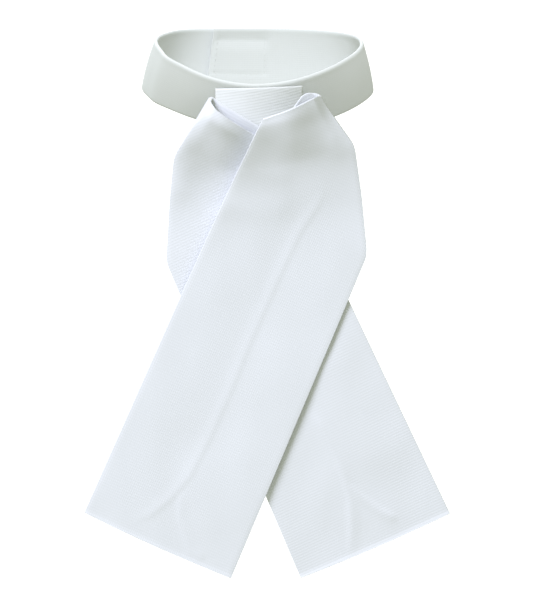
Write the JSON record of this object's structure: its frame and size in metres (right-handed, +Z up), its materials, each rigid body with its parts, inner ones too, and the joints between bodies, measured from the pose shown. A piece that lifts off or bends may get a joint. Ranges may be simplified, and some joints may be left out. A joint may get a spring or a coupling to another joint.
{
  "type": "cravat",
  "caption": "Ready-tied white cravat: a doubled ribbed neckband closed at the nape, with a front panel and wide flat tails that cross below the throat.",
  "frame": {"origin": "middle of the neck hollow, about level with the middle of the neckband at the sides of the neck", "axes": "+X to the wearer's left (the viewer's right from the front), +Y to the nape, +Z up; the tails hang in front, on the -Y side"},
  "size_m": [0.2298, 0.1381, 0.3304],
  "materials": {
    "cloth": "matt ribbed white cotton",
    "fastener": "matt white hook-and-loop tape"
  },
  "bodies": {
    "root": {"neckband": "cloth", "closure_patch": "fastener", "centre_tab": "cloth", "tail_rear": "cloth", "tail_front": "cloth"}
  },
  "joints": []
}
